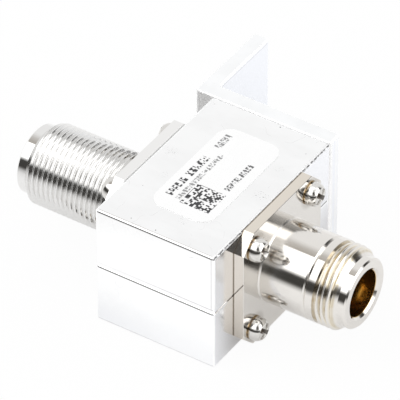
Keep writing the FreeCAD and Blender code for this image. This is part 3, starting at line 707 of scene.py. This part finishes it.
def add_thread(work, envelope, first_crest, fade_low, fade_high):
    """Swaps the plain surface between the envelope's ends for a right-hand helical thread."""
    low = envelope[0][0]
    high = envelope[-1][0]
    bmesh.ops.delete(work, geom=plain_faces(work, envelope), context="FACES")
    rims = [edge for edge in work.edges if edge.is_boundary]
    ends = {vertex for edge in rims for vertex in edge.verts}
    low_ring, high_ring = end_rings(ends, (low + high) / 2)
    rows = []
    turns = int((high - low) / PITCH) + 2
    kinks = [x for x, _ in envelope[1:-1]]
    for step in range(-2 * THREAD_ROWS, turns * THREAD_ROWS):
        rows.append((first_crest + step * PITCH / THREAD_ROWS, ridge_cut(step / THREAD_ROWS)))
    start = low + THREAD_INSET
    end = high - THREAD_INSET
    columns = []
    for column in range(THREAD_COLUMNS + 1):
        angle = 2 * math.pi * column / THREAD_COLUMNS
        xs = [min(max(low + along + PITCH * column / THREAD_COLUMNS, start), end) for along, _ in rows]
        for kink in kinks:
            nearest = min(range(len(xs)), key=lambda index: abs(xs[index] - kink))
            xs[nearest] = kink
        line = []
        for x, (_, cut) in zip(xs, rows):
            fade = smooth_step((x - low - THREAD_INSET) / fade_low)
            fade *= smooth_step((high - THREAD_INSET - x) / fade_high)
            radius = min(envelope_radius(envelope, x), THREAD_RADIUS - cut * fade)
            place = Vector((x, radius * math.cos(angle), radius * math.sin(angle))) * MM
            line.append(work.verts.new(place))
        columns.append(line)
    grid = [vertex for line in columns for vertex in line]
    for left, right in zip(columns, columns[1:]):
        for row in range(len(rows) - 1):
            work.faces.new((left[row], left[row + 1], right[row + 1], right[row]))
    bmesh.ops.remove_doubles(work, verts=grid, dist=GRID_WELD * MM)
    grid = [vertex for vertex in grid if vertex.is_valid]
    open_edges = [edge for edge in work.edges if edge.is_boundary]
    alive = {vertex for edge in open_edges for vertex in edge.verts} & set(grid)
    grid_low, grid_high = end_rings(alive, (low + high) / 2)
    stitch(work, low_ring, grid_low)
    stitch(work, high_ring, grid_high)


def tighten_rim(work, face_x, sign):
    """Narrows the broken edge round a flange's outer face to a fine glint."""
    front = []
    side = []
    cut_line = 2 * FLANGE_HALF - FLANGE_CORNER_CUT
    for vertex in work.verts:
        depth = sign * (vertex.co.x / MM - face_x)
        y = abs(vertex.co.y) / MM
        z = abs(vertex.co.z) / MM
        if max(y, z) < FLANGE_HALF - RIM_WIDTH and y + z < cut_line - RIM_WIDTH:
            continue
        if abs(depth) < TOUCH:
            front.append(vertex)
        elif -RIM_WIDTH < depth < 0.0:
            side.append(vertex)
    for vertex in front:
        nearest = min(side, key=lambda other: (other.co - vertex.co).length)
        vertex.co.y += (nearest.co.y - vertex.co.y) * RIM_TIGHTENING
        vertex.co.z += (nearest.co.z - vertex.co.z) * RIM_TIGHTENING
    for vertex in side:
        vertex.co.x += (face_x * MM - vertex.co.x) * RIM_TIGHTENING


def recess_rim(angle, half_length, half_width):
    """The distance from the middle to the edge of a cross, in the direction of an angle."""
    a = angle % (math.pi / 2)
    a = min(a, math.pi / 2 - a)
    if math.tan(a) * half_length < half_width:
        return half_length / math.cos(a)
    return half_width / math.sin(a)


def screw_angles():
    """Angles round a screw, close together at the corners of the cross."""
    corner = math.atan2(RECESS_HALF_WIDTH, RECESS_HALF_LENGTH)
    octant = [0.0, corner * 0.5, corner * 0.97, corner * 1.03]
    octant += [math.atan2(RECESS_HALF_WIDTH, RECESS_HALF_LENGTH * share) for share in (0.72, 0.5, 0.4)]
    quarter = octant + [math.pi / 4] + [math.pi / 2 - a for a in reversed(octant[1:])]
    return [a + quadrant * math.pi / 2 for quadrant in range(4) for a in quarter]


def screw_rings(angles):
    """Rings of (height, radius) round a screw, from the tip of its shank to the floor of its recess."""
    shank = [
        (-SHANK_LENGTH, SHANK_RADIUS - SHANK_CHAMFER), (-SHANK_LENGTH + SHANK_CHAMFER, SHANK_RADIUS),
        (0.0, SHANK_RADIUS),
    ]
    rings = [[ring] * len(angles) for ring in shank + list(CROWN)]
    rim_height = CROWN[-1][0]
    rim_radius = CROWN[-1][1]
    for grow, drop in RECESS_LIP:
        ring = []
        for a in angles:
            radius = recess_rim(a, RECESS_HALF_LENGTH, RECESS_HALF_WIDTH) + grow
            bulge = (HEAD_TOP - rim_height) * (1 - (radius / rim_radius) ** 2)
            ring.append((rim_height + bulge - drop, radius))
        rings.append(ring)
    floor_length = RECESS_HALF_LENGTH * RECESS_FLOOR_LENGTH
    floor_width = RECESS_HALF_WIDTH * RECESS_FLOOR_WIDTH
    floor_height = HEAD_TOP - RECESS_DEPTH + RECESS_FLOOR_RISE
    rings.append([(floor_height, recess_rim(a, floor_length, floor_width)) for a in angles])
    return rings


def add_screw(work, face_x, sign, y, z, turn):
    """One pan-head screw with a tapered cross recess, seated on the flange at (y, z)."""
    angles = screw_angles()
    rows = []
    for ring in screw_rings(angles):
        row = []
        for a, (height, radius) in zip(angles, ring):
            row.append(work.verts.new(Vector((
                face_x + sign * height,
                y + radius * math.cos(a + turn),
                z + radius * math.sin(a + turn))) * MM))
        rows.append(row)
    tip = work.verts.new(Vector((face_x - sign * SHANK_LENGTH, y, z)) * MM)
    pit = work.verts.new(Vector((face_x + sign * (HEAD_TOP - RECESS_DEPTH), y, z)) * MM)
    count = len(angles)
    for i in range(count):
        j = (i + 1) % count
        work.faces.new((tip, rows[0][j], rows[0][i]))
        work.faces.new((pit, rows[-1][i], rows[-1][j]))
        for low, high in zip(rows, rows[1:]):
            work.faces.new((low[i], low[j], high[j], high[i]))


def build_screws(material):
    """The flange screws, each driven home at its own angle."""
    dice = random.Random(SCREW_SEED)
    half = SCREW_SPACING / 2
    for name, node, face_x, sign in (
            ("surge_screws", "surge_flange_screws", 0.0, -1.0),
            ("equipment_screws", "equipment_flange_screws", EQUIPMENT_FACE_X, 1.0)):
        work = bmesh.new()
        for y in (-half, half):
            for z in (-half, half):
                add_screw(work, face_x, sign, y, z, dice.uniform(0.0, math.pi / 2))
        piece = make_piece(work, name, material, sharp_degrees=35.0)
        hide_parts(node)
        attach(piece, "root")


def build_jacks():
    """The jack bodies, as copies of their CAD meshes with true threads."""
    surge = cad_copy("surge_connector_body")
    add_thread(surge, SURGE_ENVELOPE, SURGE_FIRST_CREST, fade_low=0.01, fade_high=0.8)
    tighten_rim(surge, 0.0, -1.0)
    plating = jack_material("surge_plating", -1.0, 0.0, seat_share=0.0, root_share=0.0,
                            colour=rgb(0.80, 0.795, 0.785), rim_colour=rgb(0.855, 0.85, 0.84))
    piece = make_piece(surge, "surge_jack", plating)
    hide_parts("surge_connector_body")
    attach(piece, "root")
    equipment = cad_copy("equipment_connector_body")
    envelope = tuple((EQUIPMENT_FACE_X + x, radius) for x, radius in EQUIPMENT_ENVELOPE)
    add_thread(equipment, envelope, EQUIPMENT_FIRST_CREST, fade_low=0.15, fade_high=0.01)
    tighten_rim(equipment, EQUIPMENT_FACE_X, 1.0)
    plating = jack_material("equipment_plating", 1.0, EQUIPMENT_FACE_X, seat_share=0.85, root_share=0.9,
                            colour=rgb(0.775, 0.75, 0.715), rim_colour=rgb(0.74, 0.685, 0.61))
    piece = make_piece(equipment, "equipment_jack", plating)
    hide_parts("equipment_connector_body")
    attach(piece, "root")


def dress_nodes(screws):
    """Gives each CAD node that stays its own procedural material."""
    steel = plain_metal("plain_steel", rgb(0.55, 0.545, 0.535), 0.22, (1.0, 1.0, 6.0))
    gold = plain_metal("gold_contact", rgb(0.90, 0.63, 0.25), 0.13, (5.0, 1.0, 1.0))
    copper = plain_metal("copper_wire", rgb(0.86, 0.50, 0.33), 0.2, (2.0, 6.0, 2.0))
    housing = housing_material()
    insulator = insulator_material()
    ceramic = ceramic_material()
    finishes = {
        "housing_upper": housing,
        "housing_lower": housing,
        "label": label_material(),
        "dowel_pins": steel,
        "closing_screws": steel,
        "mounting_bracket": bracket_material(),
        "bracket_screws": screws,
        "surge_dielectric": insulator,
        "surge_contact": gold,
        "equipment_dielectric": insulator,
        "equipment_contact": gold,
        "capacitor_disc": ceramic,
        "capacitor_plates": gold,
        "gas_tube_body": ceramic,
        "gas_tube_electrodes": steel,
        "tube_coil": copper,
        "ground_spring": steel,
    }
    for node, material in finishes.items():
        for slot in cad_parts[node].material_slots:
            slot.material = material


# Stage

def link_mesh(name, corners, faces, material):
    """A mesh on the stage, from corners in millimetres."""
    mesh = bpy.data.meshes.new(name)
    mesh.from_pydata([Vector(corner) * MM for corner in corners], [], faces)
    mesh.materials.append(material)
    made = bpy.data.objects.new(name, mesh)
    bpy.context.scene.collection.objects.link(made)
    return made


def build_floor():
    """White paper that glows for the camera, and in another strength for gloss."""
    tree = Tree(bpy.data.materials.new("floor_paper"), "ShaderNodeOutputMaterial")
    camera_ray = tree.add("ShaderNodeLightPath").outputs["Is Camera Ray"]
    strength = tree.add("ShaderNodeMapRange", {
        "Value": camera_ray, "To Min": FLOOR_STRENGTH_MIRRORED, "To Max": 1.0})
    paper = tree.add("ShaderNodeBsdfDiffuse", {"Color": rgb(0.97, 0.97, 0.97)})
    glow = tree.add("ShaderNodeEmission", {"Strength": strength.outputs["Result"]})
    share = tree.largest(tree.times(tree.seen_directly(), FLOOR_GLOW_MIRRORED),
                         tree.times(camera_ray, FLOOR_GLOW_SEEN))
    tree.end(tree.mixed(share, paper, glow))
    side = FLOOR_HALF_SIDE
    corners = [
        (-side, -side, FLOOR_Z), (side, -side, FLOOR_Z), (side, side, FLOOR_Z), (-side, side, FLOOR_Z),
    ]
    link_mesh("floor", corners, [(0, 1, 2, 3)], tree.owner)


def profile(points, value):
    """The height at value of a line through (value, height) points, or the one height that is given."""
    if not isinstance(points, tuple):
        return points
    for (v0, h0), (v1, h1) in zip(points, points[1:]):
        if value <= v1:
            return h0 + (h1 - h0) * smooth_step((value - v0) / (v1 - v0))
    return points[-1][1]


def card_material(name, colour):
    """A glow of one colour where the card's cover is 1, and clear where it is 0."""
    tree = Tree(bpy.data.materials.new(name), "ShaderNodeOutputMaterial")
    attribute = tree.add("ShaderNodeAttribute", attribute_name="cover")
    clear = tree.add("ShaderNodeBsdfTransparent")
    glow = tree.add("ShaderNodeEmission", {"Color": colour})
    tree.end(tree.mixed(attribute.outputs["Fac"], clear, glow))
    return tree.owner


def build_card(name, colour, low, high, across, up, on_floor=False, distance=CARD_DISTANCE):
    """A soft-edged card round the object that only reflections see.

    low and high give its lower and upper elevation, or on the floor its inner and outer distance, each as
    one number or as (azimuth, value) points. across and up give how much it covers, over its azimuths and
    from low to high. Off the floor it stands at the distance from the origin.
    """
    first = across[0][0]
    last = across[-1][0]
    corners = []
    cover = []
    for i in range(CARD_COLUMNS + 1):
        azimuth = first + (last - first) * i / CARD_COLUMNS
        bottom = profile(low, azimuth)
        top = profile(high, azimuth)
        for j in range(CARD_ROWS + 1):
            share = j / CARD_ROWS
            if on_floor:
                reach = bottom * (top / bottom) ** share
                corners.append(direction(azimuth, 0) * reach + Vector((0, 0, FLOOR_Z + CARD_LIFT)))
            else:
                corners.append(direction(azimuth, bottom + (top - bottom) * share) * distance)
            cover.append(profile(across, azimuth) * profile(up, share))
    faces = []
    column = CARD_ROWS + 1
    for i in range(CARD_COLUMNS):
        for j in range(CARD_ROWS):
            a = i * column + j
            faces.append((a, a + 1, a + column + 1, a + column))
    card = link_mesh(name, corners, faces, card_material(name, colour))
    card.data.attributes.new("cover", "FLOAT", "POINT").data.foreach_set("value", cover)
    card.visible_camera = False
    card.visible_diffuse = False
    card.visible_shadow = False
    card.visible_transmission = False
    card.visible_volume_scatter = False


def build_cards():
    """The dark cards and soft boxes that a photographer stands round bright metal.

    camera_card and lens_card stand for the camera and its lens, which the metal mirrors too.
    """
    build_card("horizon_card", rgb(0.062, 0.06, 0.056), low=-3,
               high=((198, 28), (262, 28), (300, 24), (331, 15), (346, 13)),
               across=((198, 0), (206, 1), (334, 1), (346, 0)),
               up=((0.0, 1.0), (0.68, 1.0), (0.82, 0.5), (1.0, 0.0)))
    build_card("floor_fade", rgb(0.07, 0.065, 0.058),
               low=((198, 38), (262, 38), (325, 75), (346, 90)), high=2900,
               across=((198, 0), (206, 1), (334, 1), (346, 0)),
               up=((0.0, 0.0), (0.07, 0.12), (0.19, 0.42), (0.3, 0.7), (0.45, 0.92), (1.0, 1.0)),
               on_floor=True)
    build_card("left_box", rgb(1.9, 1.9, 1.9),
               low=((196, 22), (268, 22), (300, 28)), high=77,
               across=((196, 0), (200, 1), (290, 1), (300, 0)),
               up=((0.0, 0.0), (0.09, 0.7), (0.18, 1.0), (0.95, 1.0), (1.0, 0.0)))
    build_card("right_box", rgb(2.3, 2.3, 2.3),
               low=((330, 17), (340, 14), (348, 4), (382, 4), (390, 15), (400, 38), (413, 47)),
               high=((330, 58), (366, 60), (378, 71), (413, 72)),
               across=((330, 0), (336, 1), (410, 1), (413, 0)),
               up=((0.0, 0.0), (0.06, 1.0), (0.9, 1.0), (1.0, 0.0)))
    build_card("back_right_card", rgb(0.05, 0.047, 0.043),
               low=((36, 10), (64, 6), (72, 4)), high=((36, 32), (42, 38), (50, 46), (72, 47)),
               across=((36, 0), (42, 1), (52, 0.95), (57, 0.7), (61, 0.55), (64, 0.35), (72, 0)),
               up=((0.0, 0.0), (0.15, 1.0), (0.94, 1.0), (1.0, 0.0)))
    build_card("overhead_card", rgb(0.53, 0.50, 0.465), low=44, high=72,
               across=((134, 0), (142, 0.15), (151, 0.4), (161, 0.68), (174, 0.85), (186, 1), (198, 1),
                       (199, 0)),
               up=((0.0, 0.0), (0.33, 1.0), (0.9, 1.0), (1.0, 0.0)))
    build_card("top_box", rgb(1.8, 1.8, 1.8), low=74, high=89.9,
               across=((0, 1), (360, 1)),
               up=((0.0, 0.0), (0.1, 1.0), (1.0, 1.0)))
    build_card("camera_card", rgb(0.2, 0.19, 0.18), low=16, high=60,
               across=((293, 0), (302, 1), (318, 1), (330, 0)),
               up=((0.0, 0.0), (0.2, 1.0), (0.8, 1.0), (1.0, 0.0)))
    build_card("lens_card", rgb(0.03, 0.03, 0.03), low=33, high=49,
               across=((293, 0), (297, 1), (310, 1), (314, 0)),
               up=((0.0, 0.0), (0.2, 1.0), (0.8, 1.0), (1.0, 0.0)),
               distance=LENS_DISTANCE)


def build_light():
    """A white sky, one soft lamp that gloss doesn't see, and the cards."""
    world = bpy.data.worlds.new("studio")
    bpy.context.scene.world = world
    tree = Tree(world, "ShaderNodeOutputWorld")
    strength = tree.add("ShaderNodeMapRange", {
        "Value": tree.seen_directly(), "To Min": SKY_STRENGTH_DIFFUSE, "To Max": 1.0})
    sky = tree.add("ShaderNodeBackground", {
        "Color": rgb(1.0, 1.0, 1.0), "Strength": strength.outputs["Result"]})
    tree.end(sky.outputs[0])
    lamp = bpy.data.lights.new("key", "AREA")
    lamp.shape = "RECTANGLE"
    lamp.size = KEY_WIDTH * MM
    lamp.size_y = KEY_HEIGHT * MM
    lamp.energy = KEY_RADIANCE * math.pi * lamp.size * lamp.size_y
    made = bpy.data.objects.new("key", lamp)
    bpy.context.scene.collection.objects.link(made)
    towards = direction(KEY_AZIMUTH, KEY_ELEVATION)
    made.location = towards * KEY_DISTANCE * MM
    made.rotation_euler = towards.to_track_quat("Z", "Y").to_euler()
    made.visible_glossy = False
    build_cards()


def build_camera():
    camera = bpy.data.cameras.new("camera")
    camera.lens = CAMERA_LENS
    camera.sensor_width = CAMERA_SENSOR
    camera.clip_start = CAMERA_NEAR * MM
    camera.clip_end = CAMERA_FAR * MM
    made = bpy.data.objects.new("camera", camera)
    bpy.context.scene.collection.objects.link(made)
    ahead = (CAMERA_AIM - CAMERA_PLACE).normalized()
    right = ahead.cross(Vector((0, 0, 1))).normalized()
    up = right.cross(ahead)
    turn = Matrix.Rotation(CAMERA_ROLL, 3, -ahead)
    pose = Matrix((turn @ right, turn @ up, -ahead)).transposed().to_4x4()
    pose.translation = CAMERA_PLACE
    made.matrix_world = pose
    bpy.context.scene.camera = made


bpy.context.scene.view_settings.view_transform = "Standard"
build_camera()
build_jacks()
screw_plating = screw_material()
build_screws(screw_plating)
dress_nodes(screw_plating)
build_floor()
build_light()
